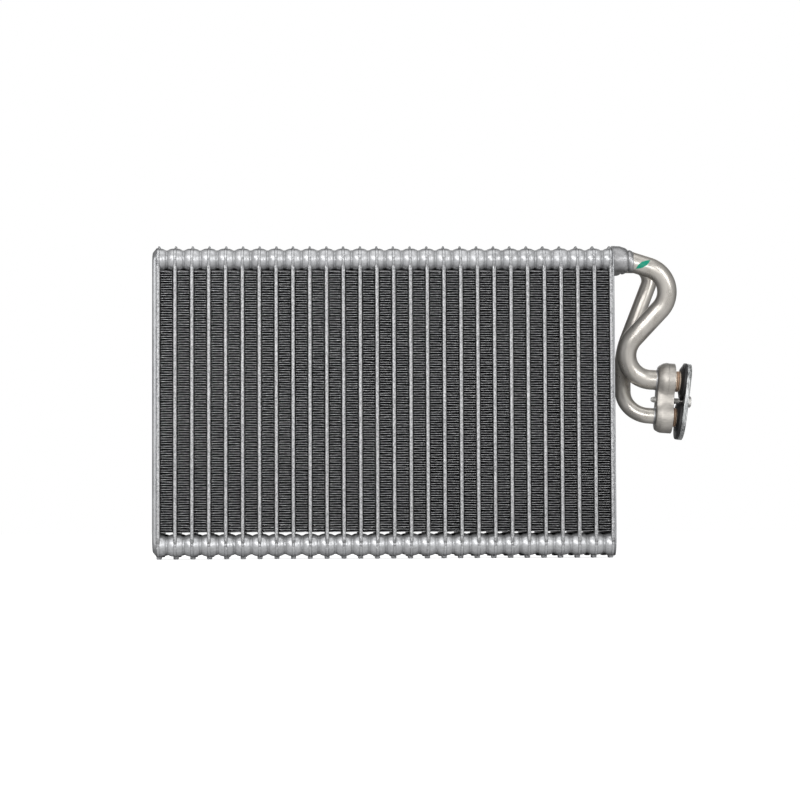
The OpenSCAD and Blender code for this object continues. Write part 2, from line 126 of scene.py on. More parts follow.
PAD_GRIP = 0.8
SCREW_DROP = 15.8
SCREW_D = 5.0
SCREW_L = 29.0
SCREW_AF = 8.0
SCREW_HEAD_H = 3.5
SEAL_D = 2.0
SEAL_PROUD = 0.15
# Diameter and length of each port's spigot
SUCTION_SPIGOT = (16.8, 5.4)
LIQUID_SPIGOT = (15.2, 3.8)

# Mesh building


def new_object(name, data):
    made = bpy.data.objects.new(name, data)
    bpy.context.scene.collection.objects.link(made)
    return made


class Shape:
    """Collects points in millimetres and faces, and makes them into one piece."""

    def __init__(self):
        self.points = []
        self.faces = []

    def add(self, points, faces):
        base = len(self.points)
        self.points.extend(points)
        self.faces.extend([tuple(base + i for i in face) for face in faces])

    def grid(self, rows, wrap=False, cap_start=False, cap_end=False, flip=False):
        """Joins rows of points, each with as many points, by quads."""
        n = len(rows[0])
        faces = []
        for r in range(len(rows) - 1):
            for c in range(n if wrap else n - 1):
                a, b = r * n + c, r * n + (c + 1) % n
                faces.append((a, b, b + n, a + n))
        if cap_start:
            faces.append(tuple(range(n - 1, -1, -1)))
        if cap_end:
            faces.append(tuple((len(rows) - 1) * n + i for i in range(n)))
        if flip:
            faces = [f[::-1] for f in faces]
        self.add([p for row in rows for p in row], faces)

    def zip_ends(self, rows):
        """Closes the first and last of the shape's rows, which mirror about their first point."""
        count = len(rows[0])
        for row, back in ((0, True), (len(rows) - 1, False)):
            for k in range(count // 2):
                around = (k, k + 1, (count - k - 1) % count, (count - k) % count)
                corners = list(dict.fromkeys(row * count + corner for corner in around))
                self.faces.append(tuple(corners[::-1] if back else corners))

    def build(self, name, material, replaces=(), sharp=40):
        """Makes the piece; edges sharper than so many degrees stay sharp."""
        mesh = bpy.data.meshes.new(name)
        mesh.from_pydata([[c * MM for c in p] for p in self.points], [], self.faces)
        mesh.validate()
        mesh.materials.append(material)
        mesh.shade_smooth()
        mesh.set_sharp_from_angle(angle=math.radians(sharp))
        piece = new_object(name, mesh)
        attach(piece, "root")
        if replaces:
            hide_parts(*replaces)
        return piece


def unit(v):
    return v / v.length


def lathe_rows(profile, place, count=64):
    """Rows of a turned form. profile lists radius and length; place(s, y, z) gives a point."""
    turns = [2 * math.pi * j / count for j in range(count)]
    return [[place(s, r * math.cos(a), r * math.sin(a)) for a in turns] for r, s in profile]


# Frames of the connection block and of the cover, as in part.scad
SUCTION_PORT = Vector((LAST_X + BLOCK_REACH, 0, PORT_HEIGHT))
PORT_AXIS = Vector((math.cos(BLOCK_TILT), 0, -math.sin(BLOCK_TILT)))
PORT_UP = Vector((math.sin(BLOCK_TILT), 0, math.cos(BLOCK_TILT)))
LIQUID_PORT = SUCTION_PORT - PORT_SPACING * PORT_UP


def in_block(s, y, z):
    return SUCTION_PORT + s * PORT_AXIS + Vector((0, y, 0)) + z * PORT_UP


def in_liquid(s, y, z):
    return in_block(s, y, z - PORT_SPACING)


COVER_AXIS = Vector((math.cos(BLOCK_TILT + COVER_TILT), 0, -math.sin(BLOCK_TILT + COVER_TILT)))
COVER_UP = Vector((math.sin(BLOCK_TILT + COVER_TILT), 0, math.cos(BLOCK_TILT + COVER_TILT)))
COVER_AT = in_block(COVER_GAP, 0, -SCREW_DROP)


def in_cover(s, y, z):
    return COVER_AT + s * COVER_AXIS + Vector((0, y, 0)) + z * COVER_UP


# Materials


def new_material(name):
    """A material with its node tree and its shader."""
    material = bpy.data.materials.new(name)
    material.use_nodes = True
    tree = material.node_tree
    shader = tree.nodes["Principled BSDF"]
    return material, tree, shader


def node(tree, kind, **values):
    """A node with values for its sockets, or for its settings where no socket has that name."""
    made = tree.nodes.new(kind)
    for key, value in values.items():
        if key in made.inputs:
            made.inputs[key].default_value = value
        else:
            setattr(made, key, value)
    return made


def noise(tree, scale, detail=3.0, stretch=None, rough=0.55):
    """Noise over the object's own coordinates; stretch scales it along the three axes."""
    place = node(tree, "ShaderNodeTexCoord")
    out = place.outputs["Object"]
    if stretch:
        mapping = node(tree, "ShaderNodeMapping", Scale=stretch)
        tree.links.new(out, mapping.inputs["Vector"])
        out = mapping.outputs["Vector"]
    made = node(tree, "ShaderNodeTexNoise", Scale=scale, Detail=detail, Roughness=rough)
    tree.links.new(out, made.inputs["Vector"])
    return made.outputs["Fac"]


def ramp(tree, factor, stops):
    """Colours by a factor; each stop is (position, colour)."""
    made = tree.nodes.new("ShaderNodeValToRGB")
    elements = made.color_ramp.elements
    while len(elements) > 1:
        elements.remove(elements[-1])
    elements[0].position, elements[0].color = stops[0][0], (*stops[0][1], 1)
    for position, colour in stops[1:]:
        elements.new(position).color = (*colour, 1)
    tree.links.new(factor, made.inputs["Fac"])
    return made.outputs["Color"]


def map_range(tree, value, low, high, to_low=0.0, to_high=1.0):
    """Maps low to high onto to_low to to_high."""
    limits = {"From Min": low, "From Max": high, "To Min": to_low, "To Max": to_high}
    made = node(tree, "ShaderNodeMapRange", **limits)
    tree.links.new(value, made.inputs["Value"])
    return made.outputs["Result"]


def span(tree, factor, low, high):
    """Maps a noise factor of about 0.3 to 0.7 onto low to high."""
    return map_range(tree, factor, 0.3, 0.7, low, high)


def mix(tree, factor, a, b, blend="MIX"):
    made = node(tree, "ShaderNodeMix", data_type="RGBA", blend_type=blend)
    if isinstance(factor, float):
        made.inputs[0].default_value = factor
    else:
        tree.links.new(factor, made.inputs[0])
    for socket, value in ((made.inputs[6], a), (made.inputs[7], b)):
        if isinstance(value, tuple):
            socket.default_value = (*value, 1)
        else:
            tree.links.new(value, socket)
    return made.outputs[2]


def multiply(tree, a, b):
    return mix(tree, 1.0, a, b, "MULTIPLY")


def dress(tree, shader, colour, rough):
    """Gives a shader its colour and its roughness."""
    tree.links.new(colour, shader.inputs["Base Color"])
    tree.links.new(rough, shader.inputs["Roughness"])


def bump(tree, shader, layers):
    """Stacks bumps; each layer is (height factor, strength, depth in metres)."""
    last = None
    for height, strength, depth in layers:
        made = node(tree, "ShaderNodeBump", Strength=strength, Distance=depth)
        tree.links.new(height, made.inputs["Height"])
        if last:
            tree.links.new(last, made.inputs["Normal"])
        last = made.outputs["Normal"]
    tree.links.new(last, shader.inputs["Normal"])


def grain_bumps(fine, broad):
    """Bump layers of bare sheet: its grain and its waviness."""
    return [(fine, 0.6, 0.00008), (broad, 0.4, 0.0003)]


def paint_rim_shade(tree, colour, share):
    """Paints shade into a colour where the surface turns away from the camera, standing in for how dull metal
    darkens there.
    """
    turned = node(tree, "ShaderNodeLayerWeight", Blend=0.5)
    stops = [(0.0, 1.0), (0.14, 1.0), (0.4, 0.35 + 0.65 * share), (0.65, share), (1.0, 0.6 * share)]
    shade = ramp(tree, turned.outputs["Facing"], [(at, (level,) * 3) for at, level in stops])
    return multiply(tree, colour, shade)


def metal(name, dark, light, rough, metallic, grain=900.0, stretch=None, blotch=60.0, rim_shade=0.6):
    """Bare metal with blotches, a finer mottle, a grain that is also in its bump, and painted shade at its
    rim.
    """
    material, tree, shader = new_material(name)
    shader.inputs["Metallic"].default_value = metallic
    shader.inputs["Specular Tint"].default_value = (0.6, 0.6, 0.6, 1)
    broad = noise(tree, blotch, 4.0)
    fine = noise(tree, grain, 2.0, stretch)
    base = ramp(tree, broad, [(0.3, dark), (0.7, light)])
    speckle = ramp(tree, fine, [(0.3, (0.8, 0.8, 0.8)), (0.7, (1.0, 1.0, 1.0))])
    colour = paint_rim_shade(tree, multiply(tree, base, speckle), rim_shade)
    dress(tree, shader, colour, span(tree, broad, *rough))
    bump(tree, shader, grain_bumps(fine, broad))
    return material


def coordinate(tree, axis):
    """One of the piece's own coordinates, in metres."""
    place = node(tree, "ShaderNodeTexCoord")
    parts = tree.nodes.new("ShaderNodeSeparateXYZ")
    tree.links.new(place.outputs["Object"], parts.inputs[0])
    return parts.outputs[axis]


def math_node(tree, operation, a, b=None, c=None):
    made = node(tree, "ShaderNodeMath", operation=operation)
    for socket, value in zip(made.inputs, (a, b, c)):
        if value is None:
            continue
        if isinstance(value, (int, float)):
            socket.default_value = value
        else:
            tree.links.new(value, socket)
    return made.outputs[0]


# Distances from the middle plane, in metres: over which a fin's painted shade gives way to its pale cut edge,
# and where a tube's edge strip takes over from its cups
FIN_SHADE_REACH = (0.0405, 0.0444)
STRIP_PALE = (0.04425, 0.0446)
# Height of the top fold that is painted paler than the rest, as a painted highlight
TOP_FOLD = 1.1


def depth_share(tree, reach):
    """0 to 1 over a reach of distances from the middle plane."""
    return map_range(tree, math_node(tree, "ABSOLUTE", coordinate(tree, "Y")), *reach)


def fin_material():
    """Folded sheet: pale cut edges, a painted highlight on the top fold, and painted shade inside and beside
    the tubes.
    """
    material, tree, shader = new_material("fin_sheet")
    shader.inputs["Metallic"].default_value = 0.85
    shader.inputs["Specular Tint"].default_value = (0.35, 0.35, 0.36, 1)
    # Painted shade: the sheet darkens to near black away from its cut edges, where shade falls between the
    # folds.
    depth_shade_mask = math_node(tree, "POWER", depth_share(tree, FIN_SHADE_REACH), 2.6)
    inner = ramp(tree, noise(tree, 90.0, 4.0), [(0.3, (0.004, 0.004, 0.005)), (0.7, (0.012, 0.012, 0.014))])
    worn = [(0.3, (0.34, 0.344, 0.353)), (0.5, (0.54, 0.544, 0.553)), (0.72, (0.85, 0.852, 0.86))]
    edge = ramp(tree, noise(tree, 420.0, 3.0), worn)
    # Painted shade beside the tubes, where the crests lie in shade.
    along = math_node(tree, "SUBTRACT", coordinate(tree, "X"), FIRST_X * MM)
    pitches = math_node(tree, "DIVIDE", along, PITCH * MM)
    dark, half, full = (0.1, 0.1, 0.1), (0.25, 0.25, 0.25), (1.0, 1.0, 1.0)
    stops = [(0.1, dark), (0.14, half), (0.19, full), (0.81, full), (0.86, half), (0.9, dark)]
    shade = ramp(tree, math_node(tree, "FRACT", pitches), stops)
    strip = multiply(tree, mix(tree, depth_shade_mask, inner, edge), shade)
    # Painted highlight: the top fold takes the pale edge colour, where light falls on it.
    top = math_node(tree, "GREATER_THAN", coordinate(tree, "Z"), (UPPER_Z - CUP_R - TOP_FOLD) * MM)
    colour = mix(tree, math_node(tree, "MULTIPLY", top, 0.8), strip, edge)
    dress(tree, shader, colour, span(tree, noise(tree, 300.0, 2.0), 0.32, 0.5))
    bump(tree, shader, [(noise(tree, 1200.0, 2.0), 0.5, 0.00006)])
    return material


def tube_material():
    """Drawn plates: painted pale on the cups and darker on the upper tabs as painted light and shade,
    grittier on the edge strips, with painted shade at the rim.
    """
    material, tree, shader = new_material("brazed_plate")
    shader.inputs["Metallic"].default_value = 0.6
    shader.inputs["Specular Tint"].default_value = (0.6, 0.6, 0.6, 1)
    height = map_range(tree, coordinate(tree, "Z"), 0.0, high_2[2] * MM)
    # Painted light and shade by height: the cups are painted pale as if lit, the upper tabs darker and the
    # lower tabs paler, evening out how the lamps fall on them; the strips between keep a middle tone.
    foot = [(0.0, 0.6), (0.009, 0.62), (0.016, 0.68), (0.07, 0.7), (0.1, 0.43)]
    head = [(0.9, 0.41), (0.93, 0.66), (0.981, 0.62), (0.986, 0.27), (1.0, 0.2)]
    painted_light_tone = ramp(tree, height, [(at, (v, v * 1.01, v * 1.03)) for at, v in foot + head])
    broad = noise(tree, 60.0, 4.0)
    fine = noise(tree, 700.0, 2.0)
    stain = ramp(tree, broad, [(0.3, (0.84, 0.84, 0.84)), (0.7, (1.0, 1.0, 1.0))])
    speckle = ramp(tree, fine, [(0.3, (0.78, 0.78, 0.78)), (0.7, (1.0, 1.0, 1.0))])
    grit = ramp(tree, noise(tree, 850.0, 3.0), [(0.36, (0.2, 0.202, 0.207)), (0.58, (0.46, 0.463, 0.47))])
    from_middle = math_node(tree, "ABSOLUTE", math_node(tree, "SUBTRACT", height, 0.5))
    between = math_node(tree, "LESS_THAN", from_middle, 0.46)
    on_strip = math_node(tree, "MULTIPLY", depth_share(tree, STRIP_PALE), between)
    painted_light_tone = mix(tree, on_strip, painted_light_tone, grit)
    colour = paint_rim_shade(tree, multiply(tree, multiply(tree, painted_light_tone, stain), speckle), 0.8)
    dress(tree, shader, colour, span(tree, broad, 0.32, 0.46))
    bump(tree, shader, grain_bumps(fine, broad))
    return material


TUBE_METAL = tube_material()
FIN_METAL = fin_material()
# The last figure of each is how dark its painted rim shade gets.
END_METAL = metal(
    "end_sheet", (0.33, 0.335, 0.345), (0.45, 0.455, 0.465), (0.36, 0.5), 0.7, grain=600.0, rim_shade=0.8
)
ADAPTER_METAL = metal(
    "brazed_adapter", (0.36, 0.36, 0.367), (0.56, 0.56, 0.567), (0.32, 0.5), 0.7, blotch=150.0, rim_shade=0.45
)
BLOCK_METAL = metal(
    "milled_block", (0.46, 0.435, 0.4), (0.58, 0.55, 0.51), (0.36, 0.5), 0.65, stretch=(0.25, 1, 1), rim_shade=0.5
)
# Painted light: the spigots and the screw are given colours paler than their metal, to make up for the shade
# they sit in between block, pad and cover.
SPIGOT_METAL = metal("port_spigot", (0.78, 0.6, 0.44), (1.0, 0.86, 0.72), (0.2, 0.36), 0.35, grain=1500.0)
SCREW_METAL = metal("zinc_screw", (0.55, 0.54, 0.52), (0.8, 0.79, 0.76), (0.24, 0.38), 0.35, grain=1800.0)

# The dab of green paint on the suction pipe: its middle, half sizes and slope, seen from the front
DAB_AT = (0.17315, 0.2326)
DAB_HALF = (0.0069, 0.0023)
DAB_SLOPE = math.radians(29)
DAB_GREEN = (0.008, 0.26, 0.17)


def paint_dab(tree):
    """1 inside a leaf-shaped dab on the front of the suction pipe."""
    x = math_node(tree, "SUBTRACT", coordinate(tree, "X"), DAB_AT[0])
    z = math_node(tree, "SUBTRACT", coordinate(tree, "Z"), DAB_AT[1])
    c, d = math.cos(DAB_SLOPE), math.sin(DAB_SLOPE)
    along = math_node(tree, "MULTIPLY_ADD", x, c, math_node(tree, "MULTIPLY", z, d))
    across = math_node(tree, "MULTIPLY_ADD", z, c, math_node(tree, "MULTIPLY", x, -d))
    u = math_node(tree, "DIVIDE", along, DAB_HALF[0])
    v = math_node(tree, "ABSOLUTE", math_node(tree, "DIVIDE", across, DAB_HALF[1]))
    leaf = math_node(tree, "SUBTRACT", math_node(tree, "SUBTRACT", 1.0, math_node(tree, "MULTIPLY", u, u)), v)
    trimmed = math_node(tree, "SUBTRACT", leaf, 0.25)
    ragged = math_node(tree, "MULTIPLY_ADD", noise(tree, 700.0, 3.0), 0.5, trimmed)
    inside = map_range(tree, ragged, -0.06, 0.12)
    front = math_node(tree, "LESS_THAN", coordinate(tree, "Y"), -0.0245)
    return math_node(tree, "MULTIPLY", inside, front)


def pipe_material():
    """Drawn pipe, slightly warm, with fine marks along it, painted shade at its rim and a dab of green paint.
    """
    material, tree, shader = new_material("drawn_pipe")
    broad = noise(tree, 45.0, 4.0)
    marks = noise(tree, 200.0, 3.0, (1.0, 1.0, 0.35))
    base = ramp(tree, broad, [(0.3, (0.56, 0.532, 0.49)), (0.7, (0.7, 0.668, 0.62))])
    worn = ramp(tree, marks, [(0.28, (0.87, 0.86, 0.85)), (0.5, (0.98, 0.98, 0.98)), (0.75, (1.0, 1.0, 1.0))])
    bare = paint_rim_shade(tree, multiply(tree, base, worn), 0.5)
    dab = paint_dab(tree)
    dress(tree, shader, mix(tree, dab, bare, DAB_GREEN), span(tree, marks, 0.26, 0.34))
    unpainted = math_node(tree, "SUBTRACT", 1.0, dab)
    tree.links.new(math_node(tree, "MULTIPLY", unpainted, 0.75), shader.inputs["Metallic"])
    shader.inputs["Specular Tint"].default_value = (0.5, 0.48, 0.45, 1)
    bump(tree, shader, [(marks, 0.1, 0.00004), (broad, 0.3, 0.0002)])
    return material


PIPE_METAL = pipe_material()


def rubber(name, colour, rough):
    """Soft rubber, duller in blotches."""
    material, tree, shader = new_material(name)
    broad = noise(tree, 220.0, 4.0)
    dark = tuple(c * 0.6 for c in colour)
    dress(tree, shader, ramp(tree, broad, [(0.3, dark), (0.7, colour)]), span(tree, broad, *rough))
    bump(tree, shader, [(noise(tree, 1600.0, 2.0), 0.4, 0.00005)])
    return material


PAD_RUBBER = rubber("pad_rubber", (0.009, 0.009, 0.01), (0.4, 0.65))
RING_RUBBER = rubber("ring_rubber", (0.55, 0.36, 0.24), (0.25, 0.45))


def brushed():
    """Cover plate, brushed at a slant across its edge."""
    material, tree, shader = new_material("brushed_cover")
    shader.inputs["Metallic"].default_value = 0.9
    place = node(tree, "ShaderNodeTexCoord")
    turn = node(tree, "ShaderNodeMapping", Rotation=(0, math.radians(-22), 0), Scale=(1, 1, 0.07))
    tree.links.new(place.outputs["Object"], turn.inputs["Vector"])
    streaks = node(tree, "ShaderNodeTexNoise", Scale=1500.0, Detail=3.0, Roughness=0.6)
    tree.links.new(turn.outputs["Vector"], streaks.inputs["Vector"])
    streak = streaks.outputs["Fac"]
    stops = [(0.38, (0.1, 0.103, 0.103)), (0.5, (0.25, 0.256, 0.256)), (0.64, (0.6, 0.61, 0.61))]
    dress(tree, shader, ramp(tree, streak, stops), span(tree, streak, 0.28, 0.45))
    bump(tree, shader, [(streak, 0.7, 0.00012)])
    return material


COVER_METAL = brushed()

# Tubes with their cups and lugs

CUP_POINTS = 44
SHOULDER_STEPS = 7
# How strongly a cup's shoulder rounds: it falls as this power of the way to the joint
SHOULDER_ROUND = 2.1
JOINT_GROOVE = 0.3


def barrel_profile(left_flat, right_flat):
    """Position along X from the tube's middle and radius, across one barrel."""
    band = PITCH / 2 - JOINT_BAND / 2
    run = band - TUBE_T / 2
    seam = [(0.0, CUP_R + 0.5), (0.72, CUP_R + 0.42), (0.9, CUP_R + 0.05), (1.1, CUP_R - 0.12)]
    side = seam + [(TUBE_T / 2, CUP_R + 0.08)]
    for j in range(1, SHOULDER_STEPS + 1):
        t = j / SHOULDER_STEPS
        fall = t**SHOULDER_ROUND
        side.append((TUBE_T / 2 + run * t, CUP_R + 0.08 - (CUP_R + 0.08 - JOINT_R) * fall))
    side += [
        (band + 0.16, JOINT_R - JOINT_GROOVE),
        (band + 0.34, JOINT_R - 0.02),
        (PITCH / 2 - 0.16, JOINT_R),
        (PITCH / 2 - 0.02, JOINT_R - 0.12),
    ]
    flat = seam + [(TUBE_T / 2 - 0.1, CUP_R + 0.05), (TUBE_T / 2, CUP_R - 0.2)]
    left = flat if left_flat else side
    right = flat if right_flat else side
    return [(-x, r) for x, r in reversed(left)] + right[1:]


def cup_row(x, r, cup_x, cup_y, cup_z, up):
    """One section of a barrel: an outline with round ends, longer from front to rear."""
    row = []
    for j in range(CUP_POINTS):
        a = 2 * math.pi * (j + 0.5) / CUP_POINTS
        y = cup_y + math.copysign(CUP_MID / 2, math.cos(a)) + r * math.cos(a)
        row.append((cup_x + x, y, cup_z + up * r * math.sin(a)))
    return row


def add_cup(shape, cup_x, cup_y, up, profile):
    cup_z = UPPER_Z if up > 0 else LOWER_Z
    rows = [cup_row(x, r, cup_x, cup_y, cup_z, up) for x, r in profile]
    shape.grid(rows, wrap=True, cap_start=True, cap_end=True, flip=up < 0)


# The edge strips as the photo shows them: width at the edge, rounding of its nose, and where they end
# above the lower cups' middle and below the upper ones'
EDGE_T = 1.9
NOSE_W = 0.6
STRIP_FOOT = 0.6
STRIP_HEAD = 4.0
TONGUE = 2.2
BODY_STEPS = 100


def body_outline(width, proud):
    """Half outline of a tube in the XY plane: its rounded nose, from left to right."""
    edge = HALF_DEPTH - EDGE_PROUD + proud
    half, tip = (TUBE_T / 2 + 0.12) * width, EDGE_T / 2 * width
    bevel = min(NOSE_W, NOSE_W * proud / EDGE_PROUD + 0.05)
    side = [
        (half, edge - bevel),
        (half * 0.93, edge - bevel * 0.55),
        ((half + tip) / 2, edge - bevel * 0.22),
        (tip, edge - bevel * 0.05),
    ]
    return [(-x, y) for x, y in side] + [(0.0, edge)] + side[::-1]


def add_body(shape, cup_x):
    """The flat middle of a tube. Its thin edges end as rounded tongues on the cups."""
    rows = []
    bottom, top = LOWER_Z + STRIP_FOOT, UPPER_Z - STRIP_HEAD
    levels = [bottom + TONGUE * t for t in (0, 0.06, 0.2, 0.45, 0.75, 1)]
    inner = [bottom + TONGUE + (top - bottom - 2 * TONGUE) * k / BODY_STEPS for k in range(1, BODY_STEPS)]
    levels = levels + inner + [bottom + top - z for z in reversed(levels)]
    for z in levels:
        t = min(1.0, min(z - bottom, top - z) / TONGUE)
        width = 0.12 + 0.88 * math.sqrt(max(0.0, 1 - (1 - t) ** 2))
        wave = 0.05 * math.sin(z * 0.31 + cup_x) + random.uniform(-0.05, 0.05)
        proud = EDGE_PROUD * min(1.0, 0.35 + 0.65 * t) - 0.03 + wave * 0.6
        front = [(cup_x + x * (1 + 0.4 * wave), -y, z) for x, y in body_outline(width, proud)]
        rear = [(cup_x - x, y, z) for x, y in body_outline(width, proud)]
        rows.append(front + rear)
    shape.grid(rows, wrap=True, cap_start=True, cap_end=True)


def add_bead(shape, x, y, z, size):
    """Small lump of brazing metal on the front or rear of a cup."""
    rows = []
    for i in range(1, 5):
        a = math.pi * i / 5
        ring = []
        for j in range(8):
            b = 2 * math.pi * j / 8
            s = size * math.sin(a)
            ring.append((x + s * math.cos(b), y + 0.45 * size * math.cos(a), z + 1.2 * s * math.sin(b)))
        rows.append(ring)
    shape.grid(rows, wrap=True, cap_start=True, cap_end=True)


# Share of the front lower tabs' height that the rear ones show, how much longer the upper tabs are at
# each end, and the half widths and heights of both kinds from the foot to the tip
REAR_LUG = 0.45
UPPER_LUG_MORE = 2.0
UPPER_LUG_HALF = [2.6, 1.8, 1.25, 1.0, 0.85, 0.65, 0.35]
LOWER_LUG_HALF = [2.1, 2.05, 2.0, 1.9, 1.55, 0.8]
LOWER_LUG_RISE = (0.3, 1.2, 1.9, 2.35, 2.6)
BEADS = 3


def add_lug(shape, cup_x, cup_y, up):
    """Tab on a cup: a ridge with a flared foot above, a squarish foot below."""
    base = UPPER_Z if up > 0 else LOWER_Z
    foot = CUP_R - 0.5
    sway = random.uniform(-0.15, 0.15)
    if up > 0:
        lean = random.uniform(0.1, 0.5)
        heights = [foot, CUP_R + 0.35, CUP_R + 0.8, CUP_R + 1.4, LUG_REACH - 0.5, LUG_REACH - 0.15, LUG_REACH]
        stem = [(sway + lean * k / 6, z) for k, z in enumerate(heights)]
        half = UPPER_LUG_HALF
    else:
        drop = 1.0 if cup_y < 0 else REAR_LUG
        stem = [(sway, foot)] + [(sway, CUP_R + drop * z) for z in LOWER_LUG_RISE]
        half = LOWER_LUG_HALF
    left, right = [], []
    for k, (x, z) in enumerate(stem):
        before, after = stem[max(k - 1, 0)], stem[min(k + 1, len(stem) - 1)]
        along = Vector((after[0] - before[0], after[1] - before[1])).normalized()
        side = (-along.y, along.x)
        left.append((x + side[0] * half[k], z + side[1] * half[k]))
        right.append((x - side[0] * half[k], z - side[1] * half[k]))
    outline = left + right[::-1]
    rows = []
    reach = LUG_L / 2 + (UPPER_LUG_MORE if up > 0 else 0.0)
    for y, grow in ((-reach, 0.8), (-reach + 0.3, 1.0), (reach - 0.3, 1.0), (reach, 0.8)):
        row = []
        for k, (x, z) in enumerate(outline):
            mx, mz = stem[k] if k < len(stem) else stem[2 * len(stem) - 1 - k]
            x, z = mx + (x - mx) * grow, mz + (z - mz) * grow
            row.append((cup_x + x, cup_y + y, base + up * z))
        rows.append(row)
    n = len(stem)
    first = len(shape.points)
    shape.grid(rows, wrap=True, flip=up < 0)
    for row, back in ((0, False), (len(rows) - 1, True)):
        start = first + row * len(outline)
        for k in range(n - 1):
            quad = (start + k, start + k + 1, start + 2 * n - 2 - k, start + 2 * n - 1 - k)
            shape.faces.append(quad if back != (up < 0) else quad[::-1])


def make_tube(i):
    """One tube: its flat middle, four barrels, their tabs and their lumps of brazing metal."""
    x = FIRST_X + i * PITCH
    shape = Shape()
    add_body(shape, x)
    profile = barrel_profile(i == 0, i == TUBE_COUNT - 1)
    for y in (-ROW_Y, ROW_Y):
        for up in (1, -1):
            add_cup(shape, x, y, up, profile)
            add_lug(shape, x, y, up)
            for _ in range(BEADS):
                face = math.copysign(HALF_DEPTH - EDGE_PROUD, y)
                z = (UPPER_Z if up > 0 else LOWER_Z) + up * random.uniform(0.6, 3.2)
                add_bead(shape, x + random.uniform(-1.2, 1.2), face, z, random.uniform(0.22, 0.42))
    node_name = "tube_%02d" % (i + 1)
    shape.build("core_" + node_name, TUBE_METAL, [node_name])


for index in range(TUBE_COUNT):
    make_tube(index)

# Folded fins with louvres

FIN_W = PITCH - TUBE_T
FIN_FOOT = LOWER_Z + CUP_R + 1.2
FIN_TOP = UPPER_Z - CUP_R - 0.15
FOLD_ABOUT = 1.87
FOLD_COUNT = round((FIN_TOP - FIN_FOOT) / FOLD_ABOUT)
FOLD = (FIN_TOP - FIN_FOOT) / FOLD_COUNT
# The sheet at its edges, the half height of a crest and the cut of its corners
SHEET_T = 0.3
CREST_HALF = 0.8
CORNER = 0.42
# Half depth of a fin, and the width of the thick strip along its edges
FIN_FRONT = 44.4
EDGE_STRIP = 2.2
# How far the crests stand back beside the tubes
CREST_BACK = 2.0
# Bent-down lip along the cut edges: distance from the edge and drop there
LIP = [(0.0, 0.68), (0.5, 0.5), (EDGE_STRIP, 0.0)]
# Half width of the plain lands between the banks of louvres
LANDING = 1.7
# Reach of the web of brazing metal that closes the crests halfway through
FILLET = 1.6
LOUVRE_PITCH = 2.5
LOUVRE_RISE = 0.94
LOUVRE_INSET = 0.95
WAVER = 0.07


def fold_path():
    """Middle line of the folded sheet: four points at each crest, from the foot up."""
    path = []
    reach = FIN_W / 2 - SHEET_T / 2
    for k in range(FOLD_COUNT + 1):
        side = -1 if k % 2 == 0 else 1
        z = k * FOLD + random.uniform(-WAVER, WAVER)
        half = CREST_HALF + random.uniform(-0.06, 0.06)
        first = [(side * (reach - CORNER), z - half), (side * reach, z - half + CORNER)]
        last = [(side * reach, z + half - CORNER), (side * (reach - CORNER), z + half)]
        if k == 0:
            first = []
        if k == FOLD_COUNT:
            last = []
        path += first + last
    low, high = 0.02 + SHEET_T / 2, FIN_TOP - FIN_FOOT - 0.02 - SHEET_T / 2
    return [(x, min(max(z, low), high)) for x, z in path]


def thick_sides(path):
    """The two faces of the sheet, as points beside each point of its middle line."""
    upper, lower = [], []
    for k, (x, z) in enumerate(path):
        before, after = path[max(k - 1, 0)], path[min(k + 1, len(path) - 1)]
        dx, dz = after[0] - before[0], after[1] - before[1]
        length = math.hypot(dx, dz) or 1.0
        nx, nz = -dz / length * SHEET_T / 2, dx / length * SHEET_T / 2
        upper.append((x + nx, z + nz))
        lower.append((x - nx, z - nz))
    return upper, lower


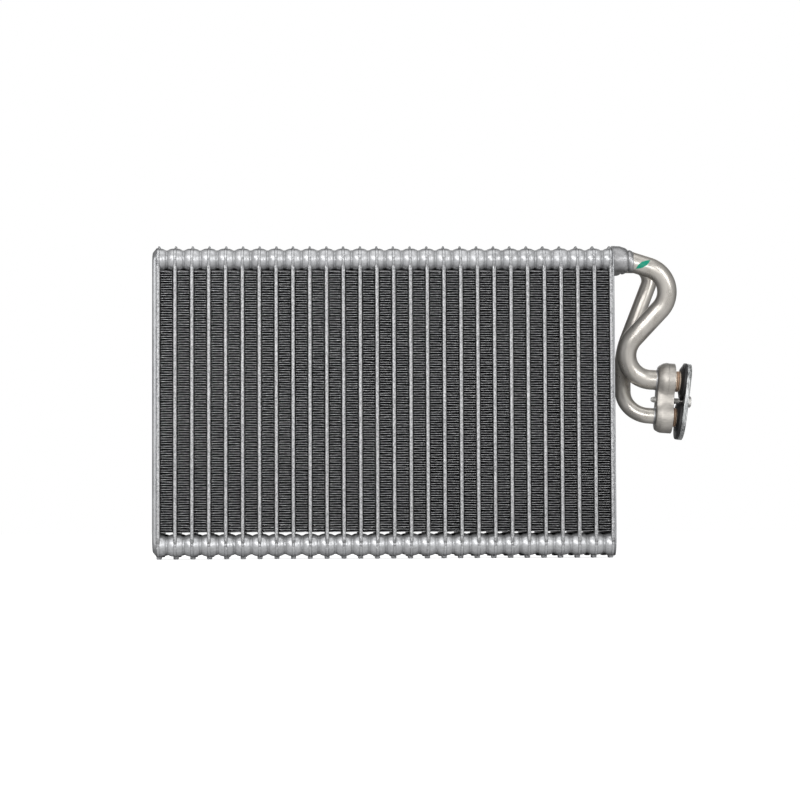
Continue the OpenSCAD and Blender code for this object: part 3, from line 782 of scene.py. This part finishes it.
def add_fin(shape, cx):
    """One strip: thick lipped edges at the front and rear, and a thin louvred sheet between them."""
    path = fold_path()
    upper, lower = thick_sides(path)
    ring = upper + lower[::-1]
    n = len(path)
    droop = [random.uniform(0.85, 1.15) for _ in range(n)]
    droop += droop[::-1]
    for side in (-1, 1):
        rows = []
        for into, fall in LIP:
            row = []
            for (x, z), share in zip(ring, droop):
                back = into + CREST_BACK * max(0.0, min(1.0, (abs(x) - FIN_W / 2 + 0.85) / 0.5))
                y = side * (FIN_FRONT - min(back, EDGE_STRIP))
                row.append((cx + x, y, FIN_FOOT + max(0.02, z - fall * share)))
            rows.append(row)
        start = len(shape.points)
        shape.grid(rows, wrap=True, flip=side > 0)
        for k in range(n - 1):
            face = (start + k, start + 2 * n - 1 - k, start + 2 * n - 2 - k, start + k + 1)
            shape.faces.append(face if side < 0 else face[::-1])
    depth = FIN_FRONT - EDGE_STRIP
    rows = [[(cx + x, y, FIN_FOOT + z) for x, z in path] for y in (-depth, depth)]
    base = len(shape.points)
    shape.points.extend(rows[0] + rows[1])
    points, faces = [], []

    def quad(p, q, y0, y1, rise=0.0):
        start = len(points)
        for (x, z), y, up in ((p, y0, -rise), (q, y0, -rise), (q, y1, rise), (p, y1, rise)):
            points.append((cx + x, y, FIN_FOOT + z + up))
        faces.append((start, start + 1, start + 2, start + 3))

    bank = depth - 2 * LANDING
    count = round(bank / LOUVRE_PITCH)
    step = bank / count
    for k in range(n - 1):
        (xa, za), (xb, zb) = path[k], path[k + 1]
        if abs(xb - xa) < FIN_W / 2:
            shape.faces.append((base + k, base + k + 1, base + n + k + 1, base + n + k))
            continue
        inset = LOUVRE_INSET / abs(xb - xa)
        ends = [(xa + (xb - xa) * t, za + (zb - za) * t) for t in (0, inset, 1 - inset, 1)]
        quad(ends[0], ends[1], -depth, depth)
        quad(ends[2], ends[3], -depth, depth)
        for y0, y1 in ((-depth, LANDING - depth), (-LANDING, LANDING), (depth - LANDING, depth)):
            quad(ends[1], ends[2], y0, y1)
        for half in (-1, 1):
            for j in range(count):
                y0 = (LANDING - depth if half < 0 else LANDING) + j * step
                quad(ends[1], ends[2], y0, y0 + step, -half * LOUVRE_RISE)
    shape.add(points, faces)
    for side in (-1, 1):
        wall, tip = cx + side * FIN_W / 2, cx + side * (FIN_W / 2 - FILLET)
        corners = [(wall, 0, FIN_FOOT), (tip, 0, FIN_FOOT), (tip, 0, FIN_TOP), (wall, 0, FIN_TOP)]
        shape.add(corners, [(0, 1, 2, 3)])


for pair in range(FIN_PAIRS):
    shape = Shape()
    for index in range(2 * pair, min(2 * pair + 2, FIN_COUNT)):
        add_fin(shape, FIRST_X + (index + 0.5) * PITCH)
    node_name = "fin_pair_%02d" % (pair + 1)
    shape.build("louvred_" + node_name, FIN_METAL, [node_name], sharp=25)

# End plates


def plate_outline(inset_y, inset_z, steps=10):
    """Closed outline of an end plate in the YZ plane, with corners that follow the cups."""
    half_y, low, high = HALF_DEPTH, LOWER_Z - END_R, UPPER_Z + END_R
    centre_z, half_z = (low + high) / 2, (high - low) / 2
    points = []
    for corner, (sy, sz) in enumerate(((1, -1), (1, 1), (-1, 1), (-1, -1))):
        cy, cz = sy * (half_y - END_R), sz * (half_z - END_R)
        start = -90 + 90 * corner
        for j in range(steps + 1):
            a = math.radians(start + 90 * j / steps)
            y, z = cy + END_R * math.cos(a), cz + END_R * math.sin(a)
            points.append((y * (half_y - inset_y) / half_y, centre_z + z * (half_z - inset_z) / half_z))
    return points


def make_end_plate(name, node_name, x, sign, levels):
    """levels lists depth, inset from the front and rear edges, and inset from top and foot."""
    shape = Shape()
    rows = [[(x + sign * depth, y, z) for y, z in plate_outline(*insets)] for depth, *insets in levels]
    shape.grid(rows, wrap=True, cap_start=True, cap_end=True, flip=sign > 0)
    shape.build(name, END_METAL, [node_name], sharp=50)


PAN_LEVELS = [
    (0.0, 0.5, 0.2), (0.3, 0.45, 0.6), (0.5, 0.06, 0.9), (0.8, 0.0, 1.3), (1.9, 0.04, 2.6), (2.4, 0.2, 3.2),
    (2.9, 0.6, 3.8), (3.2, 1.1, 4.2), (PAN_DEPTH, 1.7, 4.9),
]
PLATE_LEVELS = [(0.0, 0.2, 0.2), (0.2, 0.0, 0.0), (0.85, 0.0, 0.0), (END_T, 0.4, 0.4)]
make_end_plate("left_pan", "end_plate_left", FIRST_X - TUBE_T / 2, -1, PAN_LEVELS)
make_end_plate("right_plate", "end_plate_right", LAST_X + TUBE_T / 2, 1, PLATE_LEVELS)

# Adapters and pipes

END_FACE_X = LAST_X + TUBE_T / 2 + END_T
# The suction pipe leaves its socket at a slight downward slant: where, how steep, and the bend's radius
SLANT_FROM = 12.1
SLANT = 0.314
SLANT_BEND = 35.0


def slant_drop(x):
    """How far the middle of the suction line has dropped at x, in and just after its socket."""
    angle = math.atan(SLANT)
    start = LAST_X + SLANT_FROM - SLANT_BEND * math.tan(angle / 2)
    arc = SLANT_BEND * math.sin(angle)
    if x < start:
        return 0.0
    if x < start + arc:
        return SLANT_BEND - math.sqrt(SLANT_BEND**2 - (x - start) ** 2)
    return SLANT_BEND * (1 - math.cos(angle)) + SLANT * (x - start - arc)


def make_adapter(name, node_name, y, od):
    """Socket with a worn cone, a groove behind it and a bulging brazed collar round the pipe."""
    r = od / 2
    body = r + ADAPTER_WALL
    tenon = r - PIPE_WALL + TENON_WALL
    collar = r + COLLAR_WALL
    profile = [
        (r - PIPE_WALL, -END_T), (tenon, -END_T), (tenon, 0.02), (body - 0.25, 0.02), (body, 0.3),
        (body - 0.1, 1.8), (body - 0.25, 4.0), (body - 0.4, 6.4), (body - 0.6, 8.6), (body - 0.8, 10.4),
        (body - 1.1, 11.6), (body - 1.5, 12.2), (collar + 0.2, 12.8), (collar - 0.4, 13.2),
        (collar - 0.4, 13.5), (collar + 0.1, 14.0), (collar + 0.22, 14.7), (collar + 0.1, 15.5),
        (collar - 0.15, 16.3), (collar - 0.35, 16.9), (r + 0.15, 17.3), (r + 0.03, ADAPTER_L),
        (r - 0.3, ADAPTER_L),
    ]

    def place(s, v, w):
        turn = math.atan2(w, v)
        lean = 1 + 0.014 * math.sin(3 * turn + 0.5 * s) + 0.008 * math.sin(7 * turn + 1.3 * s)
        if s < 0.1:
            lean = 1.0
        drop = slant_drop(END_FACE_X + s) if y < 0 else 0.0
        return (END_FACE_X + s, y + v * lean, OUTLET_Z + w * lean - drop)

    shape = Shape()
    shape.grid(lathe_rows(profile, place), wrap=True, cap_start=True, cap_end=True, flip=True)
    shape.build(name, ADAPTER_METAL, [node_name], sharp=60)


make_adapter("suction_socket", "suction_adapter", -ROW_Y, SUCTION_OD)
make_adapter("liquid_socket", "liquid_adapter", ROW_Y, LIQUID_OD)

# Corners of the two routes and the radii of their bends. They are those of part.scad, apart from the
# slant at the start of the suction route.
SOCKET_END = SOCKET_DEPTH - BLOCK_T
SUCTION_APEX = 63.7
SUCTION_ROUTE = [
    Vector((END_FACE_X + ADAPTER_STOP, -ROW_Y, OUTLET_Z)),
    Vector((LAST_X + SLANT_FROM, -ROW_Y, OUTLET_Z)),
    Vector((LAST_X + SUCTION_APEX, -ROW_Y, OUTLET_Z - SLANT * (SUCTION_APEX - SLANT_FROM))),
    SUCTION_PORT - 61.4 * PORT_AXIS,
    SUCTION_PORT + SOCKET_END * PORT_AXIS,
]
SUCTION_BENDS = [SLANT_BEND, 20.7, 20.8]
LIQUID_ROUTE = [
    Vector((END_FACE_X + ADAPTER_STOP, ROW_Y, OUTLET_Z)),
    Vector((LAST_X + 44.9, ROW_Y, OUTLET_Z)),
    Vector((LAST_X + 17.1, ROW_Y, 166.5)),
    LIQUID_PORT - 39.5 * PORT_AXIS,
    LIQUID_PORT + SOCKET_END * PORT_AXIS,
]
LIQUID_BENDS = [12.4, 40.0, 20.4]
BEND_STEP = math.radians(4)
RUN_STEP = 4.0
LAST_RUN_STEPS = 8


def trace(route, radii):
    """Points, directions and bend amounts along a route of straight runs and round bends."""
    stations = []
    position = route[0]
    for i in range(1, len(route) - 1):
        into, out = unit(route[i] - route[i - 1]), unit(route[i + 1] - route[i])
        angle = into.angle(out)
        radius = radii[i - 1]
        trim = radius * math.tan(angle / 2)
        start = route[i] - trim * into
        run = (start - position).length
        steps = max(2, round(run / RUN_STEP))
        for k in range(steps):
            stations.append((position + into * (run * k / steps), into, 0.0, None))
        inward = unit(out - into * into.dot(out))
        centre = start + radius * inward
        steps = max(2, round(angle / BEND_STEP))
        for k in range(steps):
            a = angle * k / steps
            point = centre - radius * math.cos(a) * inward + radius * math.sin(a) * into
            along = math.cos(a) * into + math.sin(a) * inward
            toward = unit(centre - point)
            stations.append((point, along, math.sin(math.pi * k / steps), toward))
        position = centre - radius * math.cos(angle) * inward + radius * math.sin(angle) * into
    run = (route[-1] - position).length
    along = unit(route[-1] - position)
    for k in range(LAST_RUN_STEPS + 1):
        stations.append((position + along * (run * k / LAST_RUN_STEPS), along, 0.0, None))
    return stations


PIPE_POINTS = 56
# Share of the radius that a bend loses on its inside and outside
FLATTENING = 0.028


def make_pipe(name, node_name, route, radii, od):
    """Sweeps a round section that a bend flattens slightly, as a bent pipe is."""
    rows = []
    side = Vector((0, 1, 0.3))
    for point, along, bend, toward in trace(route, radii):
        side = unit(side - along * side.dot(along))
        other = along.cross(side)
        row = []
        for j in range(PIPE_POINTS):
            a = 2 * math.pi * j / PIPE_POINTS
            spoke = math.cos(a) * side + math.sin(a) * other
            r = od / 2
            if toward is not None:
                facing = spoke.dot(toward)
                r -= FLATTENING * od / 2 * bend * facing * facing
            row.append(point + spoke * r)
        rows.append(row)
    shape = Shape()
    shape.grid(rows, wrap=True, cap_start=True, cap_end=True)
    shape.build(name, PIPE_METAL, [node_name], sharp=60)


make_pipe("suction_line", "suction_pipe", SUCTION_ROUTE, SUCTION_BENDS, SUCTION_OD)
make_pipe("liquid_line", "liquid_pipe", LIQUID_ROUTE, LIQUID_BENDS, LIQUID_OD)

# Connection block with its spigots

LOBE_R = (14.4, 13.2)
WAIST_W = 19.0
# Position along the block from its pipe side, and how far the two lobes and the waist draw in there
BLOCK_LEVELS = [
    (0.0, 4.0, 2.6, 1.6),
    (0.25, 3.4, 2.1, 1.1),
    (0.9, 2.7, 1.6, 0.75),
    (2.2, 1.75, 0.95, 0.4),
    (3.6, 0.95, 0.35, 0.15),
    (4.2, 0.65, 0.1, 0.05),
    (6.0, 0.1, 0.0, 0.0),
    (7.2, -0.05, 0.0, 0.0),
    (8.0, 0.0, 0.0, 0.0),
    (8.35, 0.25, 0.0, 0.0),
    (13.05, 0.2, 0.0, 0.0),
    (13.35, 0.3, 0.1, 0.1),
    (13.5, 0.55, 0.4, 0.4),
]
HALF_STEPS = 44
# Reach of the fillet between two arcs of the outline
BLEND = 1.6


def block_half_outline(r1, r2, waist):
    """Half widths of the two-lobed outline, from the top of the upper lobe to the foot."""
    top, foot = r1, -PORT_SPACING - r2
    points = []
    for k in range(HALF_STEPS + 1):
        t = (1 - math.cos(math.pi * k / HALF_STEPS)) / 2
        z = top + (foot - top) * t
        wide = [0.0]
        if abs(z) < r1:
            wide.append(math.sqrt(r1 * r1 - z * z))
        if abs(z + PORT_SPACING) < r2:
            wide.append(math.sqrt(r2 * r2 - (z + PORT_SPACING) ** 2))
        if -PORT_SPACING < z < 0:
            wide.append(waist / 2)
        wide.sort()
        y = wide[-1]
        if len(wide) > 2:
            y += max(0.0, BLEND - (wide[-1] - wide[-2])) ** 2 / (4 * BLEND)
        points.append((y, z))
    return points


def make_block():
    """Two-lobed block, rounded on the pipes' side and bevelled on the ports' side."""
    shape = Shape()
    rows = []
    for level, in_1, in_2, in_w in BLOCK_LEVELS:
        half = block_half_outline(LOBE_R[0] - in_1, LOBE_R[1] - in_2, WAIST_W - 2 * in_w)
        right = [in_block(level - BLOCK_T, y, z) for y, z in half]
        left = [in_block(level - BLOCK_T, -y, z) for y, z in reversed(half[1:-1])]
        rows.append(right + left)
    shape.grid(rows, wrap=True)
    shape.zip_ends(rows)
    shape.build("port_block", BLOCK_METAL, ["connection_block"], sharp=32)


make_block()

GROOVE_W = 2.2
RING_POINTS = 24


def spigot_profile(d, length):
    """Radius and distance from the block, round the groove and back through the bore."""
    r, groove = d / 2, (length - GROOVE_W) / 2
    floor = r - 1.7
    return [
        (r + 1.0, -0.05), (r + 0.5, 0.12), (r, 0.4), (r, groove), (floor, groove + 0.05),
        (floor, groove + GROOVE_W - 0.05), (r, groove + GROOVE_W), (r, length - 0.3), (r - 0.3, length),
        (r - 2.8, length), (r - 3.1, length - 0.4), (r - 3.1, -0.05),
    ]


def make_spigot(name, d, length, place):
    shape = Shape()
    shape.grid(lathe_rows(spigot_profile(d, length), place), wrap=True, flip=True)
    shape.build(name, SPIGOT_METAL, sharp=50)


make_spigot("suction_spigot", *SUCTION_SPIGOT, in_block)
make_spigot("liquid_spigot", *LIQUID_SPIGOT, in_liquid)


def make_ring(name, node_name, d, length, place):
    """Round seal ring in the middle of a spigot."""
    r, tube = d / 2 + SEAL_PROUD - SEAL_D / 2, SEAL_D / 2
    profile = []
    for k in range(RING_POINTS):
        a = 2 * math.pi * k / RING_POINTS
        profile.append((r + tube * math.cos(a), length / 2 + tube * math.sin(a)))
    profile.append(profile[0])
    shape = Shape()
    shape.grid(lathe_rows(profile, place, 72), wrap=True, flip=True)
    shape.build(name, RING_RUBBER, [node_name], sharp=80)


make_ring("suction_o_ring", "suction_seal_ring", *SUCTION_SPIGOT, in_block)
make_ring("liquid_o_ring", "liquid_seal_ring", *LIQUID_SPIGOT, in_liquid)

BRAZE_STEPS = 5


def make_braze(name, place, od):
    """Fillet of brazing metal where a pipe enters the block."""
    profile = []
    for k in range(BRAZE_STEPS + 1):
        a = math.pi / 2 * k / BRAZE_STEPS
        radius = od / 2 + 1.5 * (1 - math.sin(a)) + 0.02
        profile.append((radius, -BLOCK_T - 1.6 * (1 - math.cos(a)) + 0.05))

    def lumpy(s, v, w):
        lean = 1 + 0.012 * math.sin(4 * math.atan2(w, v))
        return place(s, v * lean, w * lean)

    shape = Shape()
    shape.grid(lathe_rows(profile, lumpy, 48), wrap=True)
    shape.build(name, ADAPTER_METAL, sharp=70)


make_braze("suction_braze", in_block, SUCTION_OD)
make_braze("liquid_braze", in_liquid, LIQUID_OD)

# Transport cover

STADIUM_STEPS = 24
# Half width of the pad's neck at the screw
PAD_NECK = 1.6


def stadium(length, width, inset):
    """Outline of a long plate with round ends, in its own YZ plane."""
    r, middle = width / 2 - inset, (length - width) / 2
    points = []
    for end in (1, -1):
        for j in range(STADIUM_STEPS + 1):
            a = math.pi * j / STADIUM_STEPS
            points.append((end * r * math.cos(a), end * (middle + r * math.sin(a))))
    return points


def make_cover():
    """Plate with round ends; levels lists a position through it and the inset of its outline there."""
    levels = [(0.0, 0.3), (0.12, 0.08), (0.4, 0.0), (2.9, 0.0), (3.3, 0.12), (COVER_T, 0.45)]
    shape = Shape()
    rows = [[in_cover(s, y, z) for y, z in stadium(COVER_L, COVER_W, inset)] for s, inset in levels]
    shape.grid(rows, wrap=True, cap_start=True, cap_end=True)
    shape.build("transport_cover", COVER_METAL, ["cover_plate"])


make_cover()


def waisted(inset):
    """Outline of the pad: a disc behind each port and a narrow neck at the screw."""
    r, middle = COVER_W / 2 - inset, (COVER_L - COVER_W) / 2
    half = []
    for k in range(2 * STADIUM_STEPS + 1):
        z = (middle + r) * math.cos(math.pi * k / (2 * STADIUM_STEPS))
        square = r * r - (abs(z) - middle) ** 2
        y = math.sqrt(square) if square > 0 else 0.0
        if abs(z) < middle:
            y = max(y, PAD_NECK - inset)
        half.append((y, z))
    return half + [(-y, z) for y, z in reversed(half[1:-1])]


def make_pad():
    """Rubber pad under the cover, with a boss that closes each spigot."""
    shape = Shape()
    levels = [(-PAD_T, 0.8), (-PAD_T + 0.25, 0.3), (-PAD_T + 0.7, 0.05), (-0.02, 0.0)]
    rows = [[in_cover(s, y, z) for y, z in waisted(inset)] for s, inset in levels]
    shape.grid(rows, wrap=True)
    shape.zip_ends(rows)
    for place, length in ((in_block, SUCTION_SPIGOT[1]), (in_liquid, LIQUID_SPIGOT[1])):
        face = length - PAD_GRIP
        profile = [
            (8.6, face + 0.6), (8.9, face + 0.1), (10.5, face), (11.0, face + 0.3), (13.2, COVER_GAP - 1.2),
        ]
        shape.grid(lathe_rows(profile, place, 56), wrap=True, cap_start=True, cap_end=True, flip=True)
    shape.build("cover_pad", PAD_RUBBER, ["seal_pad"], sharp=40)


make_pad()

SCREW_SEAT = COVER_GAP + COVER_T / math.cos(COVER_TILT) + SCREW_AF / math.sqrt(3) * math.tan(COVER_TILT)
THREAD_PITCH = 0.8
THREAD_DEPTH = 0.38
PLAIN_SHANK = 2.0
SHANK_POINTS = 32
HEAD_POINTS = 60
# Height above the seat and the radius that the head's corners are turned to there
HEAD_LEVELS = [(0.0, 4.3), (0.25, 5.0), (2.3, 5.0), (2.9, 4.35), (3.25, 3.9), (3.4, 3.4), (SCREW_HEAD_H, 2.6)]


def make_screw():
    """Hex head and a threaded shank with a tapered point."""

    def place(s, v, w):
        return in_block(SCREW_SEAT + s, v, w - SCREW_DROP)

    shape = Shape()
    rows = []
    steps = round(SCREW_L / (THREAD_PITCH / 6))
    for k in range(steps + 1):
        s = -SCREW_L * k / steps
        taper = min(1.0, 0.62 + 0.38 * (SCREW_L + s) / 1.8)
        row = []
        for j in range(SHANK_POINTS):
            turn = j / SHANK_POINTS
            tooth = abs(((s / THREAD_PITCH + turn) % 1.0) * 2 - 1)
            depth = THREAD_DEPTH * tooth if s < -PLAIN_SHANK else 0.0
            r = (SCREW_D / 2 - depth) * taper
            a = 2 * math.pi * turn
            row.append(place(s, r * math.cos(a), r * math.sin(a)))
        rows.append(row)
    shape.grid(rows, wrap=True, cap_start=True, cap_end=True)
    head = []
    for s, limit in HEAD_LEVELS:
        row = []
        for j in range(HEAD_POINTS):
            a = 2 * math.pi * j / HEAD_POINTS
            nearest = (a + math.pi / 6) % (math.pi / 3) - math.pi / 6
            r = min(SCREW_AF / 2 / math.cos(nearest), limit)
            row.append(place(s, r * math.cos(a), r * math.sin(a)))
        head.append(row)
    shape.grid(head, wrap=True, cap_start=True, cap_end=True, flip=True)
    shape.build("hex_screw", SCREW_METAL, ["cover_screw"], sharp=35)


make_screw()

# Camera, floor and light


def aim(obj, target):
    """Turns a camera or lamp to a point in millimetres."""
    direction = Vector(target) * MM - obj.location
    obj.rotation_euler = direction.to_track_quat("-Z", "Y").to_euler()


# The photograph's camera: from low on the left, on a long lens. U is X from the photo's middle.
U_ORIGIN = LAST_X - 167.1
ROLL = math.radians(-0.25)
FLOOR_HALF = 12.0
camera_data = bpy.data.cameras.new("photo_camera")
camera = new_object("photo_camera", camera_data)
camera.location = Vector((U_ORIGIN - 75.6, -2041.0, 23.2)) * MM
aim(camera, (U_ORIGIN, -45.0, 124.4))
camera.rotation_euler.rotate_axis("Z", ROLL)
camera_data.sensor_width = 36.0
camera_data.lens = 114.8
camera_data.clip_start = 0.05
camera_data.clip_end = 50.0
bpy.context.scene.camera = camera


def seen_directly(tree, seen, unseen, output):
    """Shows one shader to the camera and another to the part, which white surroundings mustn't light."""
    pick = tree.nodes.new("ShaderNodeMixShader")
    camera_ray = tree.nodes.new("ShaderNodeLightPath").outputs["Is Camera Ray"]
    for socket, source in zip(pick.inputs, (camera_ray, unseen.outputs[0], seen.outputs[0])):
        tree.links.new(source, socket)
    tree.links.new(pick.outputs[0], tree.nodes.new(output).inputs["Surface"])


def make_floor():
    """Pale floor that fades into the white surroundings and keeps the part's shadow."""
    mesh = bpy.data.meshes.new("studio_floor")
    corners = [(x * FLOOR_HALF, y * FLOOR_HALF, 0) for x, y in ((-1, -1), (1, -1), (1, 1), (-1, 1))]
    mesh.from_pydata(corners, [], [(0, 1, 2, 3)])
    material = bpy.data.materials.new("studio_floor")
    material.use_nodes = True
    tree = material.node_tree
    tree.nodes.clear()
    plain = node(tree, "ShaderNodeBsdfDiffuse", Color=(0.6, 0.6, 0.6, 1))
    glow = node(tree, "ShaderNodeEmission", Strength=0.8)
    both = tree.nodes.new("ShaderNodeAddShader")
    tree.links.new(plain.outputs[0], both.inputs[0])
    tree.links.new(glow.outputs[0], both.inputs[1])
    seen_directly(tree, both, plain, "ShaderNodeOutputMaterial")
    mesh.materials.append(material)
    floor = new_object("studio_floor", mesh)


make_floor()


def make_world():
    """White where the camera sees it, and a dimmer even light on the part."""
    world = bpy.data.worlds.new("studio")
    bpy.context.scene.world = world
    world.use_nodes = True
    tree = world.node_tree
    tree.nodes.clear()
    seen = node(tree, "ShaderNodeBackground", Color=(1, 1, 1, 1), Strength=1.0)
    lit = node(tree, "ShaderNodeBackground", Color=(1, 1, 1, 1), Strength=0.5)
    seen_directly(tree, seen, lit, "ShaderNodeOutputWorld")


make_world()


def area_light(name, location, target, size, power):
    """Soft lamp; its place and target are in millimetres, its size in metres."""
    data = bpy.data.lights.new(name, "AREA")
    data.shape = "RECTANGLE"
    data.size, data.size_y = size
    data.energy = power
    light = new_object(name, data)
    light.location = Vector(location) * MM
    aim(light, target)


area_light("key", (-800, -1700, 950), (-30, 0, 130), (1.0, 0.4), 12)
area_light("fill", (1200, -1500, 500), (30, 0, 130), (0.6, 1.0), 8)
area_light("front", (-150, -2100, 260), (0, 0, 120), (1.3, 0.3), 10)
area_light("top", (0, -300, 1500), (0, 0, 130), (1.4, 0.8), 5)
area_light("rear", (300, 1700, 900), (0, 0, 130), (1.4, 0.8), 8)

bpy.context.scene.view_settings.view_transform = "Standard"
